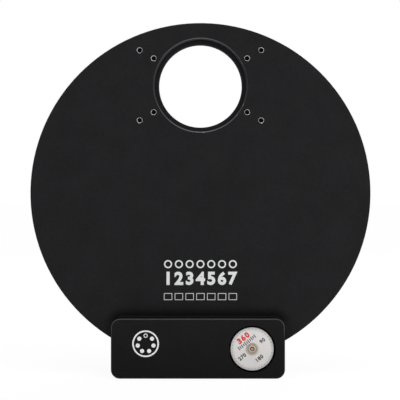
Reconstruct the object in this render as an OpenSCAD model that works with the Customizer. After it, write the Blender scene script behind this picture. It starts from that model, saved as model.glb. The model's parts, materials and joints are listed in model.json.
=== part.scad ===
// Motorised optical filter wheel. A flat round housing holds a carousel of
// filters, and a small stepper motor in a box on the rim turns it by friction.
// Everything is drawn lying on its back cover with the front face up, where z
// is the height above the back, and stand() then sets it on the foot of the box.

/* [Housing] */
// Diameter of the round housing
body_d = 194; // [193:0.5:196]
// Thickness of the housing with its back cover
body_t = 20; // [20:0.5:22]
// Thickness of the front wall
front_wall = 4; // [4:0.5:5]
// Thickness of the back cover
back_wall = 3.5; // [3:0.5:3.5]
// Width of the rim wall around the carousel chamber
rim_wall = 5.5; // [5:0.5:6]
// Chamfer on the outer edges of the round housing
body_edge = 0.3; // [0.2:0.1:0.6]

/* [Motor box] */
// Width of the box
box_w = 97; // [96:0.1:98]
// Distance of the box's middle from the wheel axis, negative to the left
box_x = -1.4; // [-1.6:0.1:0]
// Height of the box along the rim
box_h = 33.6; // [33.4:0.1:34.4]
// Distance from the wheel axis down to the foot of the box
box_reach = 103.5; // [103:0.1:104]
// Height of the box cover in front of the housing
box_front = 14.5; // [14.5:0.1:16]
// Corner radius of the box
box_corner = 5; // [4:0.5:5]
// Wall thickness of the box cover
box_wall = 2; // [1.8:0.1:2]
// Chamfer round the front edge of the box cover
box_edge = 0.8; // [0.4:0.1:1]

/* [Light path] */
// Distance from the wheel axis to the middle of the aperture
aperture_r = 61.5; // [61:0.5:62]
// Clear diameter inside the M54 x 0.75 adapter threads
thread_d = 53.2; // [50:0.1:53.2]
// Diameter of the holes tapped for M3 adapter screws
stud_hole_d = 2.5; // [2.5:0.1:2.6]
// Bolt circle of the outer four adapter holes
outer_pcd = 80; // [78:0.5:82]
// Bolt circle of the inner four adapter holes
inner_pcd = 61.5; // [61:0.5:64]
// Angle of the adapter holes above and below the horizontal
stud_angle = 30; // [28:1:32]

/* [Carousel] */
// Number of filter positions, one of which is left empty
positions = 7; // [5:1:7]
// Diameter of the carousel
carousel_d = 176; // [175:0.5:176]
// Thickness of the carousel plate
carousel_t = 6; // [5.5:0.1:6]
// Thread diameter of a filter pocket
pocket_d = 48; // [46:0.5:48]
// Diameter of the recess that takes the rim of a filter cell
recess_d = 51; // [50.8:0.1:51]
// Depth of that recess
recess_t = 1.5; // [1:0.1:2]

/* [Filters] */
// Outside diameter of a filter cell
cell_d = 50.6; // [50:0.1:50.6]
// Height of the cell behind the carousel recess
cell_t = 5.5; // [5:0.1:5.5]
// Diameter of the filter glass
glass_d = 46; // [44:0.5:46]
// Thickness of the filter glass
glass_t = 2; // [1.8:0.1:2]

/* [Drive] */
// Diameter of the motor can
can_d = 25; // [24.5:0.1:25]
// Height of the motor can
can_t = 12.8; // [12:0.1:12.8]
// Distance of the motor axis to the right of the wheel axis
motor_x = 28.8; // [28.4:0.1:30]
// Outside diameter of the friction tyre
tyre_d = 7; // [6.6:0.1:7]
// Direction of the motor's mounting ears
ear_angle = -40; // [-42:1:-38]

/* [Hidden] */
$fn = 96;
cut = 1;           // how far a cutting shape runs past the face it opens
body_r = body_d / 2;
chamber_r = body_r - rim_wall;
z_chamber = back_wall;
z_wall = body_t - front_wall;
z_face = body_t;
z_top = body_t + box_front;
seam = 0.3;        // small chamfers that mark where two castings meet
box_mid_y = box_h / 2 - box_reach;
box_in_w = box_w - 2 * box_wall;
box_in_h = box_h - 2 * box_wall;
box_in_r = box_corner - box_wall;
mouth = 0.4;       // chamfer at the mouth of an adapter thread
stud_depth = 3;
stud_mouth = 0.5;

// carousel and its bearing, a 698 deep groove ball bearing
carousel_r = carousel_d / 2;
z_car = z_wall - 0.8;
z_car_back = z_car - carousel_t;
bearing_bore_r = 4;
bearing_r = 9.5;
bearing_t = 6;
inner_race_r = 5.7;
outer_race_r = 7.9;
ball_r = 1.6;
ball_ring_r = (inner_race_r + outer_race_r) / 2;
ball_count = 8;
groove_gap = 0.05;
z_bearing = z_wall - 1.6 - bearing_t;
hub_r = 15;
washer_t = 1;
retainer_r = 14;
retainer_t = 1;
retainer_screw_ring_r = 12;
retainer_screws_n = 4;
axle_stud_r = 3;
axle_stud_t = 4.2;
axle_screw_r = 2;
axle_screw_depth = 4.6;

// filter cells, with their noses screwed into the carousel from behind
z_recess = z_car_back + recess_t;
z_cell = z_recess - cell_t;
cell_r = cell_d / 2;
cell_nose_t = 2.9;
cell_nose_r = pocket_d / 2 - 0.1;
glass_r = glass_d / 2;
glass_gap = 0.1;
glass_lip = 1.2;
z_glass = z_recess + 0.3 - glass_t;
lock_ring_t = 1;
lock_slot_w = 1.2;

// magnets that the position sensor reads
magnet_ring_r = 81;
magnet_r = 1.5;
magnet_t = 2;
home_offset_angle = 5;

// drive: motor shaft, roller and tyre against the carousel's rim
tyre_gap = 0.05;
tyre_r = tyre_d / 2;
drive_r = carousel_r + tyre_r + tyre_gap;
motor_y = -sqrt(drive_r * drive_r - motor_x * motor_x);
can_r = can_d / 2;
can_skin = 0.6;
can_edge = 0.5;
dial_t = 0.12;
flange_t = 0.8;
ear_pitch = 32;
ear_r = 3.4;
shaft_r = 1;
shaft_gap = 0.03;
z_can = z_face + flange_t;
z_can_end = z_can + can_t;
bush_r = 3.05;
pilot_r = 3.5;
roller_pocket_r = 4.3;
roller_seat_r = 2.3;
roller_flange_r = 2.8;
z_roller = z_car_back + 0.4;
z_roller_end = z_car - 0.4;
roller_collar_t = 3;

// the motor's terminal block and its lead to the control board
terminal_x = motor_x - can_r - 1.6;
wire_r = 0.5;
wire_pitch = 1.8;

// fasteners: radius of the tapped hole, the clearance hole, shank and head
tap_r = 1.05;
clear_r = 1.35;
shank_r = 1;
head_r = 2.25;
head_t = 1.25;
head_room = 0.35;
ear_tap_r = 1.25;
ear_screw_r = 1.2;
ear_head_r = 2.6;
lid_ring_r = body_r - rim_wall / 2;
lid_screw_angles = [for (k = [0:11]) if (k != 8 && k != 9) 15 + 30 * k];
lid_foot_x = [box_x - 36, box_x, box_x + 36];
lid_foot_y = -98.4;
lid_screw_t = 9;
post_r = 3.2;
post_top_y = box_mid_y + box_in_h / 2 - 3;
post_low_y = box_mid_y - box_in_h / 2 + 2.9;
post_x = box_in_w / 2 - 2.75;
post_low_mid_x = 13.5;
posts = [
    [box_x - post_x, post_top_y], [box_x + post_x, post_top_y],
    [box_x - post_x, post_low_y], [post_low_mid_x, post_low_y]
];
z_low_screw = z_wall + 1;
post_screw_t = 10;
sink = 0.15;        // how far a countersunk head lies below its face

// control board in the left half of the box
board_t = 1.6;
board_x = [box_x - 39, box_x + 9];
board_y = [-98, -74.8];
board_neck_x = box_x - 46;
board_neck_y = [-94, -78.8];
board_room = 0.6;
board_floor = 1.5;
board_pad = 0.5;
z_board = z_face - board_floor + board_pad;
z_parts = z_board + board_t;
board_holes = [for (x = [-36, 6], y = [-95, -77.8]) [box_x + x, y]];
board_pad_r = 2.6;
socket_x = box_x - box_in_w / 2 - 0.1;
socket_size = [16.2, 12, 10.9];
socket_hole = [9.2, 8.9, 8.2];
socket_window = [12.6, 11.4];
contact_size = [5.6, 3.2];
z_socket_mid = z_parts + socket_size[2] / 2;
header_size = [5.5, 9, 4.8];
sensor_size = [4, 3, 1.6];
sensor_slot = [4.4, 3.4];

black = [0.06, 0.06, 0.065];
steel = [0.62, 0.63, 0.65];
black_steel = [0.2, 0.2, 0.21];
bronze = [0.62, 0.47, 0.3];
brass = [0.75, 0.6, 0.32];
glass_tints = [
    [0.85, 0.9, 0.95, 0.5], [0.85, 0.12, 0.1, 0.5], [0.15, 0.6, 0.25, 0.5],
    [0.12, 0.25, 0.8, 0.5], [0.5, 0.05, 0.08, 0.5], [0.05, 0.5, 0.55, 0.5]
];

wire_colours = [[0.8, 0.1, 0.1], [0.9, 0.8, 0.1], [0.1, 0.1, 0.1], [0.5, 0.3, 0.15]];

filter_numbers = [1:positions - 1];

// ---------------------------------------------------------------- placing

module stand() translate([0, z_top / 2, box_reach]) rotate([90, 0, 0]) children();

module at_aperture(z = 0) translate([0, aperture_r, z]) children();

module at_position(i, r = aperture_r, z = 0)
    rotate(90 + i * 360 / positions) translate([r, 0, z]) children();

module at_motor(z = 0) translate([motor_x, motor_y, z]) children();

module at_ears(z) at_motor(z) rotate(ear_angle) for (s = [-1, 1])
    translate([s * ear_pitch / 2, 0, 0]) children();

module at_lid_screws(z) {
    for (a = lid_screw_angles) rotate(a) translate([lid_ring_r, 0, z]) children();
    for (x = lid_foot_x) translate([x, lid_foot_y, z]) children();
}

// ---------------------------------------------------------------- forms

// A disc with a chamfer on each edge
module soft_disc(r, t, low, high) rotate_extrude() polygon([
    [0, 0], [r - low, 0], [r, low], [r, t - high], [r - high, t], [0, t]]);

// The outline of a slab, half as wide as r, with a chamfer on each edge
function slab_profile(r, t, low, high) = [
    [low - r, 0], [r - low, 0], [r, low], [r, t - high],
    [r - high, t], [high - r, t], [-r, t - high], [-r, low]];

// A block with round corners and a chamfer along its lower and upper edges
module soft_block(w, h, r, t, low, high) {
    for (x = [-1, 1], y = [-1, 1])
        translate([x * (w / 2 - r), y * (h / 2 - r), 0]) soft_disc(r, t, low, high);
    translate([0, h / 2 - r, 0]) rotate([90, 0, 0]) linear_extrude(h - 2 * r)
        polygon(slab_profile(w / 2, t, low, high));
    translate([r - w / 2, 0, 0]) rotate([90, 0, 90]) linear_extrude(w - 2 * r)
        polygon(slab_profile(h / 2, t, low, high));
}

// The same block without chamfers, as a cutting shape
module round_block(w, h, r, t) {
    for (x = [-1, 1], y = [-1, 1])
        translate([x * (w / 2 - r), y * (h / 2 - r), 0]) cylinder(r = r, h = t);
    translate([r - w / 2, -h / 2, 0]) cube([w - 2 * r, h, t]);
    translate([-w / 2, r - h / 2, 0]) cube([w, h - 2 * r, t]);
}

// The round housing and the foot of the box in one outline
module body_block(z0, z1, low, high) translate([0, 0, z0]) {
    soft_disc(body_r, z1 - z0, low, high);
    translate([box_x, box_mid_y, 0]) soft_block(box_w, box_h, box_corner, z1 - z0, min(low, seam), seam);
}

// Four tapped holes on a bolt circle around the aperture, open upwards at z = 0
module stud_holes(pcd) for (a = [stud_angle, 180 - stud_angle, -stud_angle, stud_angle - 180])
    rotate(a) translate([pcd / 2, 0, 0]) {
        translate([0, 0, -stud_depth]) cylinder(d = stud_hole_d, h = stud_depth + cut);
        mouth_cone(stud_hole_d / 2, stud_mouth);
    }

// A chamfer around a hole that opens upwards at z = 0
module mouth_cone(r, size) translate([0, 0, -size]) cylinder(r1 = r, r2 = r + 2 * size, h = 2 * size);

// A ring, or a tube
module ring(outer, inner, t) difference() {
    cylinder(r = outer, h = t);
    translate([0, 0, -cut]) cylinder(r = inner, h = t + 2 * cut);
}

// A countersunk screw with its head flush at z = 0 and its shank below
module flat_screw(length) difference() {
    rotate_extrude() polygon([
        [0, 0], [head_r, 0], [shank_r, -head_t], [shank_r, -length], [0, -length]]);
    translate([0, 0, -0.9]) cylinder(r = 0.85, h = 1 + cut, $fn = 6);
}

// A cylinder-head screw with its head above z = 0 and its shank below
module cap_screw(r, length, cap_r, cap_t, key_r) difference() {
    union() {
        cylinder(r = cap_r, h = cap_t);
        translate([0, 0, -length]) cylinder(r = r, h = length + cap_t / 2);
    }
    translate([0, 0, cap_t / 2]) cylinder(r = key_r, h = cap_t, $fn = 6);
}

module upside_down() rotate([180, 0, 0]) children();

// ---------------------------------------------------------------- housing

module housing() color(black) stand() difference() {
    body_block(z_chamber, z_face, seam, body_edge);
    difference() {
        translate([0, 0, z_chamber - cut]) cylinder(r = chamber_r, h = z_wall - z_chamber + cut);
        translate([0, 0, z_bearing + bearing_t]) cylinder(r = inner_race_r - 0.2, h = body_t);
    }
    translate([0, 0, z_bearing]) cylinder(r = axle_stud_r, h = bearing_t + axle_stud_t);
    at_aperture(z_chamber) cylinder(d = thread_d, h = body_t);
    at_aperture(z_face) {
        mouth_cone(thread_d / 2, mouth);
        stud_holes(outer_pcd);
        stud_holes(inner_pcd);
    }
    housing_drive_cuts();
    housing_board_cuts();
    at_lid_screws(z_chamber - cut) cylinder(r = tap_r, h = 6.5 + cut);
    housing_post_holes();
}

// Room for the motor's pilot, the roller and the two motor screws
module housing_drive_cuts() {
    at_motor(z_wall - cut) cylinder(r = pilot_r + 0.1, h = front_wall + 2 * cut);
    at_motor(z_chamber - cut) cylinder(r = roller_pocket_r, h = z_wall - z_chamber + cut);
    at_ears(z_face - 3) cylinder(r = ear_tap_r, h = 3 + cut);
}

// A shallow pocket for the control board, on four pads, with the sensor's slot
module housing_board_cuts() {
    difference() {
        translate([0, 0, z_face - board_floor])
            linear_extrude(board_floor + cut) board_outline(board_room);
        for (p = board_holes) translate([p[0], p[1], 0]) cylinder(r = board_pad_r, h = z_board);
    }
    for (p = board_holes) translate([p[0], p[1], z_wall + 0.8]) cylinder(r = tap_r, h = front_wall);
    translate([-sensor_slot[0] / 2, -magnet_ring_r - sensor_slot[1] / 2, z_wall - cut])
        cube([sensor_slot[0], sensor_slot[1], front_wall]);
}

// Holes for the screws that hold the box cover from behind
module housing_post_holes() for (p = posts) translate([p[0], p[1], 0]) {
    translate([0, 0, z_chamber]) cylinder(r = clear_r, h = body_t);
    if (p[1] == post_low_y)
        translate([0, 0, z_chamber - cut])
            cylinder(r = head_r + head_room, h = z_low_screw - z_chamber + cut);
    else
        translate([0, 0, z_wall - cut])
            cylinder(r1 = head_r + cut + head_room / 2, r2 = clear_r, h = head_t + cut + sink);
}

module back_cover() color(black) stand() difference() {
    body_block(0, back_wall, body_edge, seam);
    at_aperture(-cut) cylinder(d = thread_d, h = back_wall + 2 * cut);
    at_aperture(0) upside_down() {
        mouth_cone(thread_d / 2, mouth);
        stud_holes(outer_pcd);
        stud_holes(inner_pcd);
    }
    at_lid_screws(0) upside_down() {
        translate([0, 0, -back_wall - cut]) cylinder(r = clear_r, h = back_wall + 2 * cut);
        translate([0, 0, -head_t - sink])
            cylinder(r1 = clear_r, r2 = head_r + head_room, h = head_t + 2 * sink);
    }
}

module back_cover_screws() color(steel) stand()
    at_lid_screws(sink) upside_down() flat_screw(lid_screw_t);

// ---------------------------------------------------------------- box cover

module motor_cover() color(black) stand() difference() {
    translate([box_x, box_mid_y, z_face]) soft_block(box_w, box_h, box_corner, box_front, seam, box_edge);
    difference() {
        translate([box_x, box_mid_y, z_face - cut])
            round_block(box_in_w, box_in_h, box_in_r, box_front - box_wall + cut);
        for (p = posts) translate([p[0], p[1], z_face - 2 * cut])
            cylinder(r = post_r, h = box_front + cut);
    }
    at_motor(z_face) cylinder(r = can_r + 0.5, h = box_front + cut);
    for (p = posts) translate([p[0], p[1], z_face - cut]) cylinder(r = tap_r, h = post_screw_t - 1);
    translate([box_x - box_w / 2 - cut, box_mid_y - socket_window[0] / 2, z_parts - 0.3])
        cube([box_wall + 1.5 * cut, socket_window[0], socket_window[1]]);
}

module motor_cover_screws() color(steel) stand() for (p = posts) {
    if (p[1] == post_low_y)
        translate([p[0], p[1], z_low_screw])
            upside_down() cap_screw(shank_r, post_screw_t, head_r, 1.8, 0.9);
    else
        translate([p[0], p[1], z_wall + sink]) upside_down() flat_screw(post_screw_t);
}

// ---------------------------------------------------------------- axle and bearing

module axle() color(steel) stand() difference() {
    translate([0, 0, z_bearing + 0.1]) {
        cylinder(r = bearing_bore_r, h = bearing_t - 0.1);
        cylinder(r = axle_stud_r, h = bearing_t + axle_stud_t - 0.3);
    }
    translate([0, 0, z_bearing - cut]) cylinder(r = axle_screw_r, h = axle_screw_depth + 0.4 + cut);
}

module axle_washer() color(steel) stand() translate([0, 0, z_bearing - washer_t])
    ring(inner_race_r - 0.1, axle_screw_r + 0.1, washer_t);

module axle_screw() color(black_steel) stand() translate([0, 0, z_bearing - washer_t]) upside_down()
    cap_screw(axle_screw_r - 0.05, washer_t + axle_screw_depth, 3.5, 2.6, 1.5);

// The groove that the balls run in, as a cutting shape
module ball_groove(r) rotate_extrude() translate([ball_ring_r, 0]) circle(r);

module bearing_inner_ring() color(steel) stand() translate([0, 0, z_bearing]) difference() {
    ring(inner_race_r, bearing_bore_r, bearing_t);
    translate([0, 0, bearing_t / 2]) ball_groove(ball_r + groove_gap);
}

module bearing_outer_ring() color(steel) stand() translate([0, 0, z_bearing]) difference() {
    ring(bearing_r, outer_race_r, bearing_t);
    translate([0, 0, bearing_t / 2]) ball_groove(ball_r + groove_gap);
}

module at_balls() for (k = [0:ball_count - 1]) rotate(k * 360 / ball_count)
    translate([ball_ring_r, 0, z_bearing + bearing_t / 2]) children();

module bearing_balls() color(steel) stand() at_balls() sphere(ball_r);

module bearing_cage() color(brass) stand() difference() {
    translate([0, 0, z_bearing + 0.7]) ring(ball_ring_r + 0.65, ball_ring_r - 0.65, bearing_t - 1.4);
    at_balls() rotate([0, 90, 0]) cylinder(r = ball_r + groove_gap, h = 3, center = true);
}

// ---------------------------------------------------------------- carousel

module carousel() color(black) stand() difference() {
    union() {
        translate([0, 0, z_car_back]) soft_disc(carousel_r, carousel_t, 0.4, 0.4);
        translate([0, 0, z_bearing]) cylinder(r = hub_r, h = z_car - z_bearing);
    }
    translate([0, 0, z_bearing - cut]) cylinder(r = bearing_r, h = bearing_t + cut);
    translate([0, 0, z_bearing]) cylinder(r = outer_race_r + 0.4, h = body_t);
    for (i = [0:positions - 1]) {
        at_position(i, z = z_car_back - cut) cylinder(d = pocket_d, h = carousel_t + 2 * cut);
        at_position(i, z = z_car_back - cut) cylinder(d = recess_d, h = recess_t + cut);
        at_position(i + 0.5, r = 27, z = z_car_back - cut) cylinder(r = 4.5, h = carousel_t + 2 * cut);
        at_position(i + 0.5, r = 71.5, z = z_car_back - cut) cylinder(r = 5, h = carousel_t + 2 * cut);
    }
    at_magnets() cylinder(r = magnet_r, h = magnet_t + cut);
    at_retainer_screws(z_bearing - cut) cylinder(r = 0.8, h = 4 + cut);
}

// One magnet between each two positions, and a second one beside the lowest that marks the start
module at_magnets() {
    for (i = [0:positions - 1])
        at_position(i + 0.5, r = magnet_ring_r, z = z_car - magnet_t) children();
    rotate(-90 - home_offset_angle) translate([magnet_ring_r, 0, z_car - magnet_t]) children();
}

module at_retainer_screws(z) for (k = [0:retainer_screws_n - 1])
    rotate(45 + k * 360 / retainer_screws_n) translate([retainer_screw_ring_r, 0, z]) children();

module index_magnets() color([0.7, 0.71, 0.73]) stand() at_magnets() cylinder(r = magnet_r, h = magnet_t);

module bearing_retainer() color(black) stand() translate([0, 0, z_bearing - retainer_t]) difference() {
    ring(retainer_r, outer_race_r + 0.3, retainer_t);
    at_retainer_screws(-cut) cylinder(r = 0.95, h = retainer_t + 2 * cut);
}

module retainer_screws() color(steel) stand() at_retainer_screws(z_bearing - retainer_t) upside_down()
    cap_screw(0.75, retainer_t + 3.6, 1.6, 1.1, 0.7);

// ---------------------------------------------------------------- filters

module filter_cell(i) color(black) stand() at_position(i) rotate_extrude() polygon([
    [glass_r + glass_gap, z_cell], [cell_r - seam, z_cell],
    [cell_r, z_cell + seam], [cell_r, z_recess],
    [cell_nose_r, z_recess], [cell_nose_r, z_recess + cell_nose_t - mouth],
    [cell_nose_r - mouth, z_recess + cell_nose_t], [glass_r - glass_lip, z_recess + cell_nose_t],
    [glass_r - glass_lip, z_glass + glass_t], [glass_r + glass_gap, z_glass + glass_t]]);

module filter_glass(i) color(glass_tints[(i - 1) % 6]) stand() at_position(i, z = z_glass)
    cylinder(r = glass_r, h = glass_t);

module filter_retaining_rings() color(black) stand() for (i = filter_numbers)
    at_position(i, z = z_glass - lock_ring_t) difference() {
        ring(glass_r, glass_r - glass_lip, lock_ring_t);
        for (s = [0, 180]) rotate(s) translate([glass_r - 0.8, -lock_slot_w / 2, -cut])
            cube([2, lock_slot_w, 0.6 + cut]);
    }

// ---------------------------------------------------------------- motor

module motor_can() color([0.72, 0.72, 0.7]) stand() at_motor() difference() {
    rotate_extrude() polygon([
        [0, z_can], [can_r, z_can], [can_r, z_can_end - can_edge],
        [can_r - can_edge, z_can_end], [0, z_can_end]]);
    translate([0, 0, z_can - cut]) cylinder(r = can_r - can_skin, h = can_t - can_skin + cut);
    translate([0, 0, z_can]) cylinder(r = bush_r, h = can_t + cut);
}

module motor_flange() color([0.68, 0.69, 0.7]) stand() difference() {
    at_motor(z_face) linear_extrude(flange_t) rotate(ear_angle) {
        circle(can_r - can_edge);
        square([ear_pitch, 2 * ear_r], center = true);
        for (s = [-1, 1]) translate([s * ear_pitch / 2, 0]) circle(ear_r);
    }
    at_motor(z_face - cut) cylinder(r = pilot_r, h = flange_t + 2 * cut);
    at_ears(z_face - cut) cylinder(r = 1.6, h = flange_t + 2 * cut);
}

module motor_screws() color(steel) stand() at_ears(z_can)
    cap_screw(ear_screw_r, flange_t + 2.7, ear_head_r, 1.8, 1);

module motor_front_bush() color(bronze) stand() at_motor(z_face - 1.4)
    ring(pilot_r, shaft_r + shaft_gap, flange_t + 1.4);

// The bush is dished at its outer end, where the shaft's end shows
module motor_rear_bush() color(bronze) stand() at_motor(z_can_end - 1) difference() {
    ring(bush_r, shaft_r + shaft_gap, 1.6);
    translate([0, 0, 1.1]) cylinder(r = 1.9, h = cut);
}

module motor_coils() color([0.55, 0.28, 0.12]) stand() for (s = [0, 1])
    at_motor(z_can + 0.2 + s * 6) ring(can_r - can_skin - 0.1, 8, 5.8);

module motor_rotor() color([0.25, 0.25, 0.27]) stand() at_motor(z_can + 0.8) ring(7.4, shaft_r, 10);

module motor_shaft() color(steel) stand() at_motor(z_roller - roller_collar_t - 0.2)
    cylinder(r = shaft_r, h = z_can_end + 0.5 - z_roller + roller_collar_t + 0.2);

module motor_dial() color([0.86, 0.86, 0.84]) stand() at_motor(z_can_end)
    ring(can_r - can_edge - 0.05, bush_r + 0.4, dial_t);

module motor_terminal() color([0.85, 0.85, 0.8]) stand() difference() {
    translate([terminal_x, motor_y - 4, z_can]) cube([4, 8, 3.6]);
    at_motor(z_can - cut) cylinder(r = can_r, h = 4 + 2 * cut);
}

module motor_lead() for (k = [0:3]) color(wire_colours[k]) stand()
    translate([board_x[1], motor_y + (k - 1.5) * wire_pitch, z_can + 1.8])
        rotate([0, 90, 0]) cylinder(r = wire_r, h = terminal_x - board_x[1]);

// ---------------------------------------------------------------- roller

module drive_roller() color(brass) stand() difference() {
    at_motor() rotate_extrude() polygon([
        [shaft_r, z_roller - roller_collar_t], [2.9, z_roller - roller_collar_t], [2.9, z_roller],
        [roller_seat_r, z_roller], [roller_seat_r, z_roller_end], [roller_flange_r, z_roller_end],
        [roller_flange_r, z_roller_end + 0.5], [shaft_r, z_roller_end + 0.5]]);
    at_motor(z_roller - roller_collar_t / 2) rotate([-90, 0, 0]) cylinder(r = 0.8, h = 4);
}

module roller_grub_screw() color(black_steel) stand() at_motor(z_roller - roller_collar_t / 2)
    rotate([-90, 0, 0]) translate([0, 0, shaft_r]) difference() {
        cylinder(r = 0.75, h = 1.8);
        translate([0, 0, 1]) cylinder(r = 0.4, h = 2, $fn = 6);
    }

module drive_tyre() color([0.08, 0.08, 0.08]) stand() at_motor() rotate_extrude() polygon([
    [roller_seat_r, z_roller], [tyre_r - 0.4, z_roller], [tyre_r, z_roller + 0.4],
    [tyre_r, z_roller_end - 0.4], [tyre_r - 0.4, z_roller_end], [roller_seat_r, z_roller_end]]);

// ---------------------------------------------------------------- electronics

module board_outline(grow = 0) {
    translate([board_x[0] - grow, board_y[0] - grow])
        square([board_x[1] - board_x[0] + 2 * grow, board_y[1] - board_y[0] + 2 * grow]);
    translate([board_neck_x - grow / 3, board_neck_y[0] - grow])
        square([board_x[0] - board_neck_x + cut, board_neck_y[1] - board_neck_y[0] + 2 * grow]);
}

module control_board() color([0.05, 0.3, 0.15]) stand() difference() {
    translate([0, 0, z_board]) linear_extrude(board_t) board_outline();
    for (p = board_holes) translate([p[0], p[1], z_board - cut])
        cylinder(r = clear_r, h = board_t + 2 * cut);
}

module board_screws() color(steel) stand() for (p = board_holes) translate([p[0], p[1], z_parts])
    cap_screw(shank_r, board_t + 1.8, head_r, 1.4, 0.9);

module usb_socket() color(steel) stand() difference() {
    translate([socket_x + 0.2, box_mid_y - socket_size[1] / 2, z_parts]) cube(socket_size);
    translate([socket_x + 0.2 - cut, box_mid_y - socket_hole[1] / 2, z_socket_mid - socket_hole[2] / 2])
        cube([socket_hole[0] + cut, socket_hole[1], socket_hole[2]]);
}

module usb_contact_block() color([0.9, 0.9, 0.88]) stand()
    translate([socket_x + 2.2, box_mid_y - contact_size[0] / 2, z_socket_mid - contact_size[1] / 2])
        cube([socket_hole[0] - 2, contact_size[0], contact_size[1]]);

module microcontroller() color([0.1, 0.1, 0.1]) stand() translate([box_x - 20, -87, z_parts]) {
    translate([-3.5, -3.5, 0.1]) cube([7, 7, 1.3]);
    for (side = [0, 90, 180, 270]) rotate(side) chip_legs(3.5, 8, 0.8);
}

module motor_driver_chip() color([0.1, 0.1, 0.1]) stand() translate([box_x - 5, -94, z_parts]) {
    translate([-5, -2, 0.1]) cube([10, 4, 1.5]);
    for (side = [0, 180]) rotate(side) chip_legs(2, 8, 1.2);
}

// A row of legs along the side of a chip whose half width is given
module chip_legs(half, n, pitch) for (k = [0:n - 1])
    translate([(k - (n - 1) / 2) * pitch - 0.2, half - 0.1, 0]) cube([0.4, 0.9, 0.4]);

module buffer_capacitor() color([0.75, 0.75, 0.76]) stand() translate([box_x - 8, -79.5, z_parts]) {
    translate([-3.3, -3.3, 0]) cube([6.6, 6.6, 0.8]);
    soft_disc(3.1, 7.5, 0.2, 0.3);
}

module lead_header() color([0.9, 0.9, 0.85]) stand()
    translate([board_x[1] - header_size[0], motor_y - header_size[1] / 2, z_parts]) difference() {
        cube(header_size);
        translate([-cut, 0.8, 3.6]) cube([3 + cut, header_size[1] - 1.6, 2]);
    }

module hall_sensor() color([0.1, 0.1, 0.1]) stand()
    translate([-sensor_size[0] / 2, -magnet_ring_r - sensor_size[1] / 2, z_wall + 0.3]) {
        cube(sensor_size);
        for (k = [0:2]) translate([0.55 + k * 1.27, 1.3, sensor_size[2] - 0.1])
            cube([0.4, 0.4, z_board - z_wall - 0.2 - sensor_size[2]]);
    }

// ---------------------------------------------------------------- assembly

housing();
back_cover();
back_cover_screws();
motor_cover();
motor_cover_screws();
axle();
axle_washer();
axle_screw();
bearing_inner_ring();
bearing_balls();
bearing_cage();
bearing_outer_ring();
bearing_retainer();
retainer_screws();
carousel();
index_magnets();
filter_retaining_rings();
motor_can();
motor_flange();
motor_screws();
motor_front_bush();
motor_rear_bush();
motor_coils();
motor_rotor();
motor_shaft();
motor_dial();
motor_terminal();
motor_lead();
drive_roller();
drive_tyre();
roller_grub_screw();
control_board();
board_screws();
usb_socket();
usb_contact_block();
microcontroller();
motor_driver_chip();
buffer_capacitor();
lead_header();
hall_sensor();
for (i = filter_numbers) {
    filter_cell(i);
    filter_glass(i);
}
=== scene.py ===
# %% [markdown]
# # A motorised filter wheel
# The wheel is a flat black housing with a threaded aperture near its edge. A carousel of seven
# filters turns inside it, and a small stepper motor sits in a box at its foot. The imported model
# has every rigid piece at its real size and place, so this lesson adds what a drawing leaves
# out: screw threads, tapped holes, printed marks, knurls and contacts, and a finish for every
# surface. It ends with a plain studio.

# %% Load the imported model
import json
import math

import bmesh
import bpy
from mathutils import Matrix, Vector


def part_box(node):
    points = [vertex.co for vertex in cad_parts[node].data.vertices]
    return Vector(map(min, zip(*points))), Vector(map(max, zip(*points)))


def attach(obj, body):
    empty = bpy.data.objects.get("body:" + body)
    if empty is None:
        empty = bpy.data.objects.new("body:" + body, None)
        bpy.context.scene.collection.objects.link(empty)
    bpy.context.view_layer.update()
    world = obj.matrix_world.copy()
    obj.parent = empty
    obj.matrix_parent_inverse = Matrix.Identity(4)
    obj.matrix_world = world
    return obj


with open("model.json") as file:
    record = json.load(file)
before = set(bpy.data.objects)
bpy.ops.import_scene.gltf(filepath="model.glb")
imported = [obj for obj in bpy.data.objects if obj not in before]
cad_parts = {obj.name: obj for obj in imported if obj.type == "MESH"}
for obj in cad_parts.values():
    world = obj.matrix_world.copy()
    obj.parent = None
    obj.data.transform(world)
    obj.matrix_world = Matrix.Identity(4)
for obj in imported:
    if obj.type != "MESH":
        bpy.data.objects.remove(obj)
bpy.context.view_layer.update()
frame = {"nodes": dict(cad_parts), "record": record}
print("nodes:", len(frame["nodes"]))

# %% [markdown]
# ## Places
# All sizes are in metres, with Z up and the front of the wheel towards -Y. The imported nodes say
# where things are, so each place is worked out from a node's box. A change to the model then
# moves the new pieces with it.

# %% Places on the wheel
MM = 0.001
FULL_TURN = 2 * math.pi


def middle(node):
    """The centre of a node's box."""
    low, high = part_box(node)
    return (low + high) / 2


def low_of(node):
    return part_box(node)[0]


def high_of(node):
    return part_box(node)[1]


FACE_Y = low_of("housing").y
BACK_Y = high_of("back_cover").y
AXIS_Z = middle("bearing_outer_ring").z
first = middle("filter_glass_1")
CIRCLE_R = math.hypot(first.x, first.z - AXIS_Z)
APERTURE = Vector((0, FACE_Y, AXIS_Z + CIRCLE_R))
MOTOR = middle("motor_dial")
print("wheel axis at height", round(AXIS_Z / MM, 2), "mm")
print("aperture at height", round(APERTURE.z / MM, 2), "mm")

# %% [markdown]
# ## Hands
# These few helpers do what a hand does in the viewport: pick one object, go into edit mode, pick
# the vertices at a place, use a modifier, and set the object's place into its mesh. Everything is
# deselected first, because an operator acts on all that is selected.


# %% Selecting and placing
def only(*pieces):
    """Select these pieces alone, the last one active."""
    if bpy.context.mode != "OBJECT":
        bpy.ops.object.mode_set(mode="OBJECT")
    bpy.ops.object.select_all(action="DESELECT")
    for piece in pieces:
        piece.select_set(True)
    bpy.context.view_layer.objects.active = pieces[-1]


def edit(piece):
    only(piece)
    bpy.ops.object.mode_set(mode="EDIT")


def leave():
    bpy.ops.object.mode_set(mode="OBJECT")


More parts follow.
